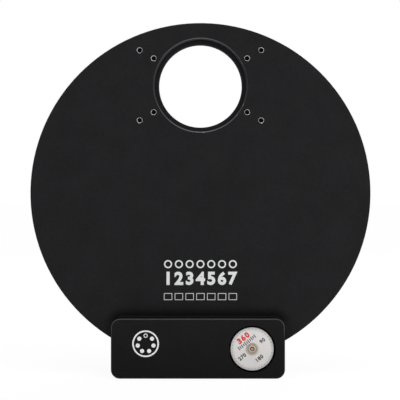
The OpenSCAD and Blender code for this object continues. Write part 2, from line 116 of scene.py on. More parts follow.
def settle(piece):
    """Set the object's place and turn into its mesh."""
    only(piece)
    bpy.ops.object.transform_apply(location=True, rotation=True, scale=True)


def added():
    """The primitive just made, with its place in its mesh and nothing else selected."""
    piece = bpy.context.object
    settle(piece)
    return piece


def put(piece, place=(0, 0, 0), turn=(0, 0, 0)):
    piece.rotation_euler = turn
    piece.location = place
    settle(piece)
    return piece


FRONTWARDS = (math.pi / 2, 0, 0)
BACKWARDS = (-math.pi / 2, 0, 0)


def stand(piece, place, turn=FRONTWARDS):
    """Stand a piece that was made looking up, so that it looks to the front or the back."""
    return put(piece, place, turn)


# %% Picking and shaping
def pick(piece, test, kind="VERT"):
    """In edit mode, select the vertices, edges or faces whose middle passes the test."""
    bpy.ops.mesh.select_mode(type=kind)
    bpy.ops.mesh.select_all(action="DESELECT")
    mesh = bmesh.from_edit_mesh(piece.data)
    items = {"VERT": mesh.verts, "EDGE": mesh.edges, "FACE": mesh.faces}[kind]
    for item in items:
        points = [item.co] if kind == "VERT" else [v.co for v in item.verts]
        if test(sum(points, Vector()) / len(points)):
            item.select_set(True)
    bmesh.update_edit_mesh(piece.data)


def modify(piece, kind, **settings):
    """Add a modifier and apply it."""
    only(piece)
    modifier = piece.modifiers.new(kind.title(), kind)
    for key, value in settings.items():
        setattr(modifier, key, value)
    bpy.ops.object.modifier_apply(modifier=modifier.name)


def mend(piece, gap=0.002 * MM):
    """Merge doubles and turn every face outwards."""
    edit(piece)
    bpy.ops.mesh.select_all(action="SELECT")
    bpy.ops.mesh.remove_doubles(threshold=gap)
    bpy.ops.mesh.normals_make_consistent(inside=False)
    leave()


def joined(pieces):
    only(*pieces)
    bpy.ops.object.join()
    return bpy.context.object


def copy_of(piece):
    """A copy with its own mesh."""
    only(piece)
    bpy.ops.object.duplicate()
    return bpy.context.object


def ring_of(piece, angles):
    """Copies of a piece turned about the z axis, joined into one."""
    copies = [put(copy_of(piece), turn=(0, 0, angle)) for angle in angles]
    bpy.data.objects.remove(piece)
    return joined(copies)


# %% [markdown]
# ## Shader tools
# A finish is mostly arithmetic on noise and distance. This class wraps one output of a node, so
# that `1 - mask` or `height * 0.3` adds the Math node by itself, and `node` adds any other kind.
# Noise is read in object coordinates, which are metres on the real piece, so a scale of 5000
# gives grain of a fifth of a millimetre everywhere.


# %% A socket that can be calculated with
class Wire:
    """One output socket. Arithmetic on it adds Math nodes."""

    def __init__(self, tree, socket=None):
        self.tree = tree
        self.socket = socket

    def node(self, kind, inputs=None, output=0, stops=None, **settings):
        """Add a node: its settings first, then the values or links of its sockets."""
        made = self.tree.nodes.new("ShaderNode" + kind)
        for key, value in settings.items():
            setattr(made, key, value)
        if stops:
            ramp = made.color_ramp
            while len(ramp.elements) < len(stops):
                ramp.elements.new(1)
            for element, (position, colour) in zip(ramp.elements, stops):
                element.position = position
                element.color = (*colour, 1)
        for key, value in (inputs or {}).items():
            if isinstance(value, Wire):
                self.tree.links.new(value.socket, made.inputs[key])
            else:
                made.inputs[key].default_value = value
        return Wire(self.tree, made.outputs[output])

    def maths(self, operation, *others):
        inputs = dict(enumerate((self, *others)))
        return self.node("Math", inputs, operation=operation)

    def swapped(self, operation, first):
        return self.node("Math", {0: first, 1: self}, operation=operation)

    def __add__(self, other):
        return self.maths("ADD", other)

    def __sub__(self, other):
        return self.maths("SUBTRACT", other)

    def __mul__(self, other):
        return self.maths("MULTIPLY", other)

    def __truediv__(self, other):
        return self.maths("DIVIDE", other)

    def __rsub__(self, other):
        return self.swapped("SUBTRACT", other)

    __radd__ = __add__
    __rmul__ = __mul__

    def above(self, edge, soft):
        """0 below the edge and 1 above it, over a soft step."""
        low, high = edge - soft, edge + soft
        inputs = {"Value": self, "From Min": low, "From Max": high}
        return self.node("MapRange", inputs, interpolation_type="SMOOTHSTEP")

    def between(self, low, high, soft):
        return self.above(low, soft) * (1 - self.above(high, soft))

    def mixed(self, low, high):
        """A colour between two, with this value as the share of the second."""
        inputs = {0: self, 6: rgba(low), 7: rgba(high)}
        return self.node("Mix", inputs, output=2, data_type="RGBA")


def rgba(colour):
    return colour if isinstance(colour, Wire) or len(colour) == 4 else (*colour, 1)


# %% A blank finish and its usual patterns
class Finish:
    """A material with a Principled shader, and the patterns that its surfaces share."""

    def __init__(self, name, **constants):
        self.material = bpy.data.materials.new(name)
        self.material.use_nodes = True
        self.tree = self.material.node_tree
        self.shader = self.tree.nodes["Principled BSDF"]
        self.start = Wire(self.tree)
        self.place = self.start.node("TexCoord", output="Object")
        for socket, value in constants.items():
            self.shader.inputs[socket.replace("_", " ")].default_value = value

    def drive(self, **wires):
        """Link wires to the shader's sockets."""
        for socket, wire in wires.items():
            self.tree.links.new(wire.socket, self.shader.inputs[socket.replace("_", " ")])

    def seen_from(self, centre=(0, 0, 0), stretch=(1, 1, 1)):
        """Object coordinates counted from a centre, and stretched."""
        back = [-c * s for c, s in zip(centre, stretch)]
        inputs = {"Vector": self.place, "Location": back, "Scale": stretch}
        return self.start.node("Mapping", inputs)

    def noise(self, scale, detail=2, stretch=None, rough=0.5):
        where = self.seen_from(stretch=stretch) if stretch else self.place
        inputs = {"Vector": where, "Scale": scale, "Detail": detail, "Roughness": rough}
        return self.start.node("TexNoise", inputs)

    def pits(self, scale, depth, soft):
        """1 in the middle of each pore of a sintered metal, and 0 round it."""
        inputs = {"Vector": self.place, "Scale": scale}
        away = self.start.node("TexVoronoi", inputs, output="Distance")
        return 1 - away.above(depth, soft)

    def axes(self, centre=(0, 0, 0)):
        """The x, y and z distances from a centre."""
        where = self.seen_from(centre)
        return [self.start.node("SeparateXYZ", {0: where}, output=axis) for axis in "XYZ"]

    def radius(self, centre):
        """The distance from a line through the centre that runs from front to back."""
        inputs = {0: self.seen_from(centre, (1, 0, 1))}
        return self.start.node("VectorMath", inputs, output="Value", operation="LENGTH")

    def lathe(self, centre, scale):
        """Fine turning lines: noise that varies with the radius alone."""
        rings = self.start.node("CombineXYZ", {"X": self.radius(centre)})
        inputs = {"Vector": rings, "Scale": scale, "Detail": 2.0}
        return self.start.node("TexNoise", inputs)

    def bump(self, height, depth, strength=1.0, under=None):
        """A relief of the given depth in metres."""
        inputs = {"Height": height, "Distance": depth, "Strength": strength}
        if under:
            inputs["Normal"] = under
        return self.start.node("Bump", inputs)


# %% [markdown]
# ## Black anodised aluminium
# The housing, the covers and the carousel are milled, blasted with fine beads and anodised black.
# The finish is nearly black and satin, with a blasted grain, a faint grain from the mill under it,
# and a cloudiness and a speckle in the dye. It reflects little straight on, so the specular level
# is low. The carousel came from another bath, whose dye has a violet cast.

# %% Anodised finishes
CLOUD_SCALE = 70
SPECKLE_SCALE = 1000
GRAIN_SCALE = 5200
MILL_STRETCH = (30, 900, 5200)


def anodised(name, tone, cloud=0.9, rough=0.45, level=0.06):
    """A satin anodised finish, and the colour, roughness and relief that it is driven by."""
    finish = Finish(name, Specular_IOR_Level=level)
    mottle = finish.noise(CLOUD_SCALE, detail=3)
    speckle = finish.noise(SPECKLE_SCALE, detail=2)
    grain = finish.noise(GRAIN_SCALE, detail=3, rough=0.6)
    mill = finish.noise(1, detail=2, stretch=MILL_STRETCH)
    dark = [c * (1 - cloud) for c in tone]
    pale = [c * (1 + cloud) for c in tone]
    colour = (mottle * 0.27 + speckle * 0.5 + grain * 0.23).mixed(dark, pale)
    roughness = rough - 0.05 + mottle * 0.06 + grain * 0.06
    relief = finish.bump(grain * 0.75 + mill * 0.35, 7e-6, 0.6)
    return finish, colour, roughness, relief


black, colour, roughness, relief = anodised("black_anodised", (0.0112, 0.0106, 0.0128))
black.drive(Base_Color=colour, Roughness=roughness, Normal=relief)
print("finish:", black.material.name)

# %% [markdown]
# ## The finish of the two halves
# The housing and its back cover are one black, and the mouth of the thread in each was turned after
# the face was milled. Its ring carries a painted highlight, strongest at the top and the bottom,
# where its turning lines would glint, and its edge has lost a little dye in a few places. The rim
# was turned too, so its lines run round it. The front carries a painted shadow in the corner over
# the box, and the crests of the adapter threads are paler, partly worn by the adapters and partly a
# painted highlight.

# %% The outline of the box
BOX_CORNER = 5.0 * MM


def rounded(finish, node, corner):
    """The distance outwards from the rounded rectangle that a node shows to the front."""
    half = (high_of(node) - low_of(node)) / 2
    across, _, up = finish.axes(middle(node))
    over = across.maths("ABSOLUTE") - (half.x - corner)
    above = up.maths("ABSOLUTE") - (half.z - corner)
    inner = over.maths("MAXIMUM", above).maths("MINIMUM", 0.0)
    over, above = over.maths("MAXIMUM", 0.0), above.maths("MAXIMUM", 0.0)
    return (over * over + above * above).maths("SQRT") + inner - corner


def box_shade(finish, node):
    """The share of painted shadow round the box, which is largest over its top."""
    outside = rounded(finish, node, BOX_CORNER)
    over = finish.axes(high_of(node))[2].above(-3.0 * MM, 3.0 * MM)
    return (1 - outside.above(2.5 * MM, 4.0 * MM)) * (0.3 + over * 0.65)


print("box corners: radius", round(BOX_CORNER / MM, 1), "mm")

# %% Housing and back cover finishes
HALF_TONE = (0.0100, 0.0099, 0.0107)
SHADOW_TONE = (0.0004, 0.0004, 0.0005)
ADAPTER_BORE = 26.6 * MM
MOUTH = (26.55 * MM, 27.06 * MM)
MOUTH_DEPTH = 0.45 * MM
RIM_R = 96.2 * MM
WHEEL = (0, 0, AXIS_Z)


def turned_half(name, face_y, inwards, box=None):
    """The finish of one half of the wheel, whose thread starts at face_y and runs inwards."""
    half, colour, roughness, relief = anodised(name, HALF_TONE)
    _, along, up = half.axes((0, face_y, APERTURE.z))
    reach = half.radius(APERTURE)
    mouth = reach.between(*MOUTH, 0.03 * MM)
    mouth = mouth * (1 - (along * inwards).above(MOUTH_DEPTH, 0.05 * MM))
    slope = up / reach
    glint = mouth * (0.2 + slope * slope * 0.8)
    worn = half.noise(260, detail=4).above(0.66, 0.05) * mouth
    rim = half.radius(WHEEL).above(RIM_R, 0.2 * MM)
    lines = half.lathe(APERTURE, 9000) * mouth + half.noise(1, stretch=(12, 7000, 12)) * rim
    # Painted shadow in the corner over the box.
    if box:
        colour = box_shade(half, box).mixed(colour, SHADOW_TONE)
    # A painted highlight on the ring of the mouth, strongest at its top and bottom.
    colour = glint.mixed(colour, (0.1, 0.1, 0.102))
    colour = (worn * 0.5).mixed(colour, (0.3, 0.3, 0.31))
    half.drive(
        Base_Color=colour,
        Roughness=roughness - mouth * 0.1,
        Normal=half.bump(lines, 9e-6, 0.5, under=relief),
    )
    print("finish:", name)
    return half.material


housing_finish = turned_half("housing_anodised", FACE_Y, 1, box="motor_cover")
back_finish = turned_half("back_anodised", BACK_Y, -1)

# %% Adapter thread finish
CREST_R = ADAPTER_BORE - 0.15 * MM
worn_glinting_thread, colour, roughness, relief = anodised("worn_glinting_thread", HALF_TONE)
# Paler crests: partly wear from the adapters, partly a painted highlight.
crest = 1 - worn_glinting_thread.radius(APERTURE).above(CREST_R, 0.06 * MM)
worn_glinting_thread.drive(
    Base_Color=(crest * 0.7).mixed(colour, (0.05, 0.05, 0.051)),
    Roughness=roughness - crest * 0.08,
    Normal=relief,
)
print("finish:", worn_glinting_thread.material.name)

# %% [markdown]
# ## The box cover's finish
# The cover of the motor box is a shade darker than the housing, and darkest towards its foot. The
# front of its walls carries painted shade, and its front edge carries a painted highlight along its
# upper part and painted shade along its lower part. The edge line follows the distance from the
# outline of the box, a rectangle with round corners.

# %% Box cover finish
BOX_EDGE = 0.6 * MM
LINE_SOFT = 0.04 * MM
cover, colour, roughness, relief = anodised("cover_anodised", (0.0072, 0.0070, 0.0073))
_, inward, up = cover.axes(low_of("motor_cover"))
behind_edge = inward.above(BOX_EDGE, LINE_SOFT)
edge = rounded(cover, "motor_cover", BOX_CORNER).above(-BOX_EDGE, LINE_SOFT) * (1 - behind_edge)
wall = behind_edge * (1 - inward.above(9.0 * MM, 4.0 * MM))
foot = 1 - up.above(14.0 * MM, 18.0 * MM)
highlit_upper = up.above(23.0 * MM, 6.0 * MM)
colour = (foot * 0.55).mixed(colour, (0.0015, 0.0015, 0.0015))
# Painted shade on the walls and the lower edge, and a painted highlight on the upper edge.
colour = (wall * 0.9).mixed(colour, (0.0008, 0.0008, 0.0009))
colour = (edge * highlit_upper).mixed(colour, (0.046, 0.046, 0.047))
colour = (edge * (1 - highlit_upper)).mixed(colour, (0.001, 0.001, 0.001))
print("cover edge:", round(BOX_EDGE / MM, 2), "mm wide")

# %% [markdown]
# ## The sign on the cover
# At the left there is one screen-printed sign, a ring with seven dots that stands for the carousel,
# and one of them is open like the empty position. A print has no thickness worth modelling, so it is
# drawn in the finish: each dot is a distance from a point, cut off at the dot's radius.

# %% Printed sign
POSITIONS = 7
SIGN = low_of("motor_cover") + Vector((19.4 * MM, 0, 19.6 * MM))
SIGN_R = 7.0 * MM
SIGN_LINE = 0.42 * MM
DOT_CIRCLE_R = 4.5 * MM
DOT_R = 1.15 * MM
OPEN_DOT_R = 0.72 * MM
INK_EDGE = 0.04 * MM
INK_DEPTH = 0.3 * MM

ink = cover.radius(SIGN).between(SIGN_R - SIGN_LINE, SIGN_R + SIGN_LINE, INK_EDGE)
for k in range(POSITIONS):
    angle = math.pi / 2 + k * FULL_TURN / POSITIONS
    dot = (SIGN[0] + DOT_CIRCLE_R * math.cos(angle), 0, SIGN[2] + DOT_CIRCLE_R * math.sin(angle))
    away = cover.radius(dot)
    ink = ink + (1 - away.above(DOT_R, INK_EDGE))
    if k == 0:
        ink = ink - (1 - away.above(OPEN_DOT_R, INK_EDGE))
ink = ink * (1 - cover.axes(SIGN)[1].above(INK_DEPTH, 0.02 * MM))
ink = ink * (0.9 + cover.noise(3000, detail=2) * 0.15)
cover.drive(
    Base_Color=ink.mixed(colour, (0.72, 0.72, 0.72)),
    Roughness=roughness + ink * 0.1,
    Normal=cover.bump(ink, 4e-6, 0.5, under=relief),
)
print("finish:", cover.material.name, "with", POSITIONS, "dots in its sign")

# %% [markdown]
# ## Metals
# A metal is told by its colour and by how it was worked: ground steel has fine scratches and
# plating has soft stains. One helper makes most of them, from two shades, noise for the stains and
# stretched noise for the scratches.


# %% Metal finishes
def metal(name, dull, bright, rough, scratches, depth):
    """A worked metal: two shades mixed by noise, and scratches in relief."""
    finish = Finish(name, Metallic=1.0)
    stain = finish.noise(420, detail=4)
    fine = finish.noise(1, stretch=scratches)
    finish.drive(
        Base_Color=(stain * 0.6 + fine * 0.4).mixed(dull, bright),
        Roughness=rough + stain * 0.1 - 0.05 + fine * 0.06,
        Normal=finish.bump(fine, depth, 0.7),
    )
    print("finish:", name)
    return finish.material


ROUND = (2500, 9000, 2500)
ALONG_X = (60, 9000, 9000)
metals = {
    "screw_steel": metal(
        "screw_black", (0.025, 0.025, 0.026), (0.06, 0.058, 0.056), 0.34, ROUND, 4e-6
    ),
    "black_steel": metal("black_oxide", (0.03, 0.03, 0.032), (0.085, 0.083, 0.08), 0.38, ROUND, 5e-6),
    "ground_steel": metal("ground_steel", (0.5, 0.51, 0.53), (0.66, 0.67, 0.69), 0.2, ROUND, 2e-6),
    "brass": metal("turned_brass", (0.6, 0.42, 0.17), (0.8, 0.6, 0.29), 0.26, ROUND, 4e-6),
    "magnet_nickel": metal("nickel", (0.6, 0.6, 0.59), (0.72, 0.72, 0.7), 0.14, ROUND, 1e-6),
    "motor_steel": metal("zinc_plate", (0.5, 0.51, 0.52), (0.68, 0.69, 0.7), 0.36, ALONG_X, 3e-6),
    "plated_shell": metal("tin_plate", (0.58, 0.58, 0.57), (0.74, 0.74, 0.73), 0.24, ALONG_X, 2e-6),
}
gold = metal("contact_gold", (0.72, 0.5, 0.18), (0.86, 0.62, 0.26), 0.2, ALONG_X, 1e-6)
lip_bronze = metal("polished_bronze", (0.4, 0.32, 0.25), (0.58, 0.47, 0.38), 0.38, ROUND, 3e-6)

# %% [markdown]
# ## Cut aluminium
# A tapped hole is drilled after the anodising, so its edge is bare metal. The countersink is bright
# in a narrow band just under the face, and above and below it the liner is painted dark, as painted
# shade for the depth of the hole. The depth under the nearer face tells the two apart, so one finish
# serves both sides of the wheel.

# %% Cut aluminium
BRIGHT_BAND = (0.1 * MM, 0.28 * MM)
HOLE_SHADE = (0.012, 0.012, 0.012)
cut_edge = Finish("cut_aluminium", Metallic=1.0)
_, inward, _ = cut_edge.axes((0, FACE_Y, 0))
depth = inward.maths("MINIMUM", (BACK_Y - FACE_Y) - inward)
bright = depth.between(*BRIGHT_BAND, 0.03 * MM)
fine = cut_edge.noise(1, stretch=ROUND)
bare = fine.mixed((0.8, 0.8, 0.805), (0.95, 0.95, 0.96))
# Outside the bright band the liner is painted dark, as painted shade for the depth of the hole.
cut_edge.drive(
    Base_Color=bright.mixed(HOLE_SHADE, bare),
    Roughness=0.28 + fine * 0.08,
    Normal=cut_edge.bump(fine, 4e-6, 0.7),
)
print("finish:", cut_edge.material.name)

# %% [markdown]
# ## The motor's metals
# The can is pressed steel with a paler end, and its side is painted dark, as a painted reflection of
# its dark surroundings. The shaft is turned, and oil has browned its chamfer. The bush is sintered
# bronze: a net of pores, oil that creeps out round the shaft, and a groove where dirt collects. All
# three are round, so each is read by its radius.


# %% Turned motor steel
def turned_steel(name, pale, dark, edge):
    """A round steel part of the motor: pale on its end, and dark outside the given radius."""
    finish = Finish(name, Metallic=1.0)
    rings = finish.lathe(MOTOR, 8000)
    stain = finish.noise(700, detail=3)
    end = (stain * 0.3).mixed(pale, [c * 0.7 for c in pale])
    rounded_off = finish.radius(MOTOR).above(edge, 0.1 * MM)
    finish.drive(
        Base_Color=rounded_off.mixed(end, dark),
        Roughness=0.32 + rings * 0.1,
        Normal=finish.bump(rings, 2e-6, 0.6),
    )
    print("finish:", name)
    return finish.material


SHAFT_EDGE_R = 0.75 * MM
CAN_EDGE_R = 11.95 * MM
oiled_steel = turned_steel("oiled_shaft", (0.36, 0.29, 0.25), (0.12, 0.09, 0.07), SHAFT_EDGE_R)
# The can's dark side is a painted reflection of its dark surroundings.
can_steel = turned_steel("motor_can_steel", (0.5, 0.47, 0.44), (0.035, 0.035, 0.037), CAN_EDGE_R)

# %% Sintered bronze
OILED_R = 1.32 * MM
GROOVE = (2.0 * MM, 2.5 * MM)
STAIN_SOFT = 0.2 * MM
bronze = Finish("sintered_bronze", Metallic=0.55, Specular_IOR_Level=0.4)
pits = bronze.pits(3400, 0.28, 0.12)
oil = bronze.noise(900, detail=3)
away = bronze.radius(MOTOR)
shade = oil * 0.7 + 0.3 - pits * 0.45
bronze_colour = shade.mixed((0.22, 0.18, 0.14), (0.42, 0.35, 0.29))
oiled = 1 - away.above(OILED_R, STAIN_SOFT)
groove = away.between(*GROOVE, STAIN_SOFT)
stain = (oiled * 0.9 + groove * 0.22).maths("MINIMUM", 1.0)
bronze.drive(
    Base_Color=stain.mixed(bronze_colour, (0.03, 0.02, 0.014)),
    Roughness=0.62 - oil * 0.2,
    Normal=bronze.bump(bronze.lathe(MOTOR, 7000) - pits, 8e-6, 0.6),
)
print("finish:", bronze.material.name)

# %% [markdown]
# ## Plastics, rubber and ink
# None of these is one flat colour. Rubber is chalky, moulded plastic has a faint skin and ink lies
# a little unevenly, so each has two shades, a grain and a broad unevenness.


# %% Dull finishes
def dull(name, deep, pale, rough, scale, depth, **constants):
    """A moulded, printed or sintered surface."""
    finish = Finish(name, **constants)
    grain = finish.noise(scale, detail=4, rough=0.6)
    broad = finish.noise(90, detail=2)
    finish.drive(
        Base_Color=(grain * 0.6 + broad * 0.4).mixed(deep, pale),
        Roughness=rough + grain * 0.12 - 0.06,
        Normal=finish.bump(grain, depth, 0.6),
    )
    print("finish:", name)
    return finish.material


plain = {
    "ferrite": dull("ferrite", (0.02, 0.02, 0.022), (0.05, 0.05, 0.052), 0.66, 3000, 2e-5),
    "tyre_rubber": dull("tyre_rubber", (0.012, 0.012, 0.012), (0.03, 0.03, 0.031), 0.85, 4200, 2e-5),
    "white_plastic": dull(
        "white_plastic", (0.66, 0.64, 0.58), (0.8, 0.78, 0.72), 0.42, 2600, 4e-6
    ),
}
legend_ink = dull("legend_ink", (0.56, 0.56, 0.56), (0.68, 0.68, 0.68), 0.6, 3600, 3e-6)
black_ink = dull("black_ink", (0.02, 0.02, 0.022), (0.05, 0.05, 0.05), 0.5, 3600, 2e-6)
red_ink = dull("red_ink", (0.5, 0.012, 0.01), (0.62, 0.03, 0.022), 0.5, 3600, 2e-6)

# %% [markdown]
# ## Winding, wires and chips
# The motor's coils show their turns of enamelled wire, which noise stretched along the turns draws.
# The lead is one piece with four wires side by side, so a ramp with hard steps across it gives each
# wire its colour. The chips are black moulded plastic with a fine sparkle of filler.

# %% Enamelled winding
copper = Finish("enamelled_winding", Metallic=0.7)
turns = copper.noise(1, detail=1, stretch=(300, 6500, 300))
copper.drive(
    Base_Color=turns.mixed((0.3, 0.09, 0.03), (0.66, 0.27, 0.12)),
    Roughness=0.25 + turns * 0.2,
    Normal=copper.bump(turns, 4e-5, 0.8),
)
print("finish:", copper.material.name)

# %% Wire insulation
WIRE_COLOURS = [(0.6, 0.03, 0.03), (0.75, 0.6, 0.05), (0.04, 0.04, 0.04), (0.45, 0.2, 0.06)]
wires = Finish("wire_insulation", Specular_IOR_Level=0.4)
lead_low, lead_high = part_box("motor_lead")
share = wires.axes(lead_low)[2] / (lead_high.z - lead_low.z)
bands = [(k / len(WIRE_COLOURS), shade) for k, shade in enumerate(WIRE_COLOURS)]
band_colour = wires.start.node("ValToRGB", {"Fac": share}, stops=bands)
band_colour.socket.node.color_ramp.interpolation = "CONSTANT"
skin = wires.noise(2400, detail=2)
wires.drive(
    Base_Color=(skin * 0.3).mixed(band_colour, (0.2, 0.2, 0.2)),
    Roughness=0.4 + skin * 0.15,
    Normal=wires.bump(skin, 6e-6, 0.5),
)
print("finish:", wires.material.name, "for", len(WIRE_COLOURS), "wires")

# %% Chip plastic
chip = Finish("chip_plastic", Specular_IOR_Level=0.35)
grain = chip.noise(4200, detail=4, rough=0.65)
chip.drive(
    Base_Color=grain.mixed((0.014, 0.014, 0.015), (0.035, 0.035, 0.036)),
    Roughness=0.55 + grain * 0.15,
    Normal=chip.bump(grain, 1.4e-5, 0.6),
)
print("finish:", chip.material.name)

# %% [markdown]
# ## The circuit board
# A green solder mask lies over copper tracks, so the tracks show as a lighter green and stand a
# little proud. Rows of stretched cells look like bundles of tracks that run along the board.

# %% Circuit board finish
board = Finish("circuit_board", Coat_Weight=0.4, Coat_Roughness=0.15)
bundle = board.noise(1, detail=0, stretch=(40, 1, 1400)).above(0.5, 0.02)
branch = board.noise(1, detail=0, stretch=(1400, 1, 40)).above(0.56, 0.02)
region = board.noise(130, detail=0).above(0.5, 0.03)
tracks = bundle * region + branch * (1 - region)
weave = board.noise(3000, detail=2)
mask = weave.mixed((0.008, 0.07, 0.03), (0.014, 0.1, 0.04))
board.drive(
    Base_Color=tracks.mixed(mask, (0.03, 0.2, 0.08)),
    Roughness=0.3 + weave * 0.12,
    Normal=board.bump(tracks + weave * 0.1, 2.5e-5, 0.6),
)
print("finish:", board.material.name)

# %% [markdown]
# ## The film on the motor's end
# A pale printed film covers the end of the motor. It is nearly flat, so most of its look is painted
# shade: soft grey towards the rim, where it bends over the edge of the can, a faint ring that the can
# presses through it, and a shadow round the boss. Its lower half is a little darker.

# %% Film finish
BEND_R = 10.9 * MM
PRESSED = (9.9 * MM, 10.15 * MM)
BOSS_R = 3.7 * MM
film = Finish("motor_film", Coat_Weight=0.25, Coat_Roughness=0.2)
away = film.radius(MOTOR)
bend = away.above(BEND_R, 1.0 * MM)
pressed = away.between(*PRESSED, 0.12 * MM)
near_boss = 1 - away.above(BOSS_R, 0.3 * MM)
low_side = 1 - film.axes(MOTOR)[2].above(-1.0 * MM, 11.0 * MM)
fibre = film.noise(1800, detail=4, rough=0.6)
paper = fibre.mixed((0.558, 0.536, 0.525), (0.646, 0.622, 0.61))
# Painted shade at the bend, at the pressed ring and round the boss; the lower half is darker too.
shade = bend * 0.5 + pressed * 0.12 + near_boss * 0.25 + low_side * 0.22
paper = shade.maths("MINIMUM", 1.0).mixed(paper, (0.285, 0.285, 0.287))
film.drive(
    Base_Color=paper,
    Roughness=0.42 + fibre * 0.1,
    Normal=film.bump(fibre * 0.1 - bend - pressed * 0.4, 3e-5, 0.7),
)
print("finish:", film.material.name)

# %% [markdown]
# ## Coated filter glass
# Each filter passes one band of light. The tint is the glass, and the thin film of the shader
# gives the coloured sheen of the coating. A trace of haze and dust keeps it from looking perfect.


# %% Filter finishes
def coated_glass(name, tint, film_nm):
    finish = Finish(
        name,
        Transmission_Weight=1.0,
        IOR=1.52,
        Thin_Film_Thickness=film_nm,
        Thin_Film_IOR=1.9,
    )
    haze = finish.noise(140, detail=3)
    dust = finish.noise(2600, detail=3).above(0.72, 0.03)
    finish.drive(
        Base_Color=(haze * 0.2).mixed(tint, [c * 0.8 for c in tint]),
        Roughness=0.015 + haze * 0.02 + dust * 0.2,
        Normal=finish.bump(dust, 4e-6, 0.5),
    )
    print("finish:", name)
    return finish.material


TINTS = [
    ((0.9, 0.94, 0.97), 310.0),
    ((0.85, 0.1, 0.06), 420.0),
    ((0.1, 0.62, 0.2), 370.0),
    ((0.08, 0.2, 0.85), 460.0),
    ((0.45, 0.02, 0.05), 520.0),
    ((0.04, 0.48, 0.5), 400.0),
]
glasses = {
    f"filter_{k}": coated_glass(f"filter_glass_{k}", tint, film_nm)
    for k, (tint, film_nm) in enumerate(TINTS, 1)
}

# %% [markdown]
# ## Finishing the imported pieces
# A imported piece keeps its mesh. Its finish goes into its object's material slots, by the slot name
# that the record gives each node, or it is the node's own finish where it has one.

# %% Give every node its finish
slot_finish = {
    **metals,
    **plain,
    **glasses,
    "black_anodised": black.material,
    "bronze": bronze.material,
    "copper": copper.material,
    "dial_paper": film.material,
    "wire": wires.material,
    "circuit_board": board.material,
    "chip_plastic": chip.material,
}
own_finish = {
    "housing": housing_finish,
    "back_cover": back_finish,
    "motor_cover": cover.material,
    "motor_can": can_steel,
    "motor_shaft": oiled_steel,
}
for row in frame["record"]["subparts"]:
    finish = own_finish.get(row["node"], slot_finish[row["material_slot"]])
    for place in frame["nodes"][row["node"]].material_slots:
        place.material = finish


# %% Finishing a new piece
def done(piece, name, material, body, smooth=None):
    """Name a new piece, give it its finish, and let it ride on its body."""
    piece.name = piece.data.name = name
    piece.data.materials.clear()
    piece.data.materials.append(material)
    if smooth:
        only(piece)
        bpy.ops.object.shade_smooth_by_angle(angle=math.radians(smooth))
    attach(piece, body)
    low, high = Vector(piece.bound_box[0]), Vector(piece.bound_box[6])
    size = [round(s / MM, 2) for s in high - low]
    print(name, "on", body, "-", len(piece.data.polygons), "faces, size", size, "mm")
    return piece


# %% [markdown]
# ## Screw threads
# An adapter thread is a helical ridge on the wall of a bore. A small square is narrowed to the
# ridge's section and the Screw modifier carries it round the axis, one pitch for each turn. A
# texture would look the same from the front, but the ridges are seen edge-on from every side.


# %% A helical ridge
FOOT_SHARE = 0.43
CREST_SHARE = 0.25
ROOTED = 0.02 * MM


def thread(bore, pitch, start, turns, steps, depth):
    """A ridge on the wall of a bore along z, rooted in the wall, with its ends closed."""
    half = pitch * FOOT_SHARE
    bpy.ops.mesh.primitive_plane_add(
        size=2 * half, location=(bore, 0, start), rotation=(math.pi / 2, 0, 0)
    )
    ridge = added()
    edit(ridge)
    pick(ridge, lambda p: p.x > bore)
    bpy.ops.transform.translate(value=(ROOTED - half, 0, 0))
    pick(ridge, lambda p: p.x < bore - half / 2)
    bpy.ops.transform.translate(value=(half - depth, 0, 0))
    bpy.ops.transform.resize(value=(1, 1, CREST_SHARE), center_override=(bore, 0, start))
    bpy.ops.mesh.select_all(action="SELECT")
    bpy.ops.mesh.delete(type="ONLY_FACE")
    leave()
    modify(
        ridge, "SCREW", axis="Z", angle=FULL_TURN, screw_offset=pitch,
        iterations=turns, steps=steps, render_steps=steps,
    )
    edit(ridge)
    bpy.ops.mesh.select_all(action="SELECT")
    bpy.ops.mesh.fill_holes(sides=4)
    leave()
    mend(ridge)
    return ridge


print("a ridge's foot is", round(2 * FOOT_SHARE, 2), "of its pitch")

# %% Adapter threads and the empty position's thread
PITCH = 0.75 * MM
POCKET_BORE = 24.0 * MM
TURN_STEPS = 120
ADAPTER_RIDGE = 0.28 * MM
POCKET_RIDGE = 0.2 * MM

ridge = thread(ADAPTER_BORE, PITCH, start=-3.7 * MM, turns=4, steps=TURN_STEPS, depth=ADAPTER_RIDGE)
stand(ridge, APERTURE)
done(ridge, "front_thread", worn_glinting_thread.material, "case", smooth=40)

ridge = thread(ADAPTER_BORE, PITCH, start=-3.15 * MM, turns=3, steps=TURN_STEPS, depth=ADAPTER_RIDGE)
stand(ridge, (0, BACK_Y, APERTURE.z), BACKWARDS)
done(ridge, "rear_thread", worn_glinting_thread.material, "case", smooth=40)

ridge = thread(POCKET_BORE, PITCH, start=-4.15 * MM, turns=5, steps=TURN_STEPS, depth=POCKET_RIDGE)
stand(ridge, (0, low_of("carousel").y, APERTURE.z))
done(ridge, "empty_pocket_thread", black.material, "carousel", smooth=40)

# %% [markdown]
# ## Tapped holes
# The eight small holes round the aperture, and the eight behind it, were drilled after the
# anodising. Their countersinks and threads are bare aluminium, which shows as a thin grey ring round
# each hole; the rest of the liner is painted dark, as painted shade for the depth of the hole. The
# liner is an open cone whose lower edge is extruded down the hole, given a thin wall. One hole is
# made and copied to each place.

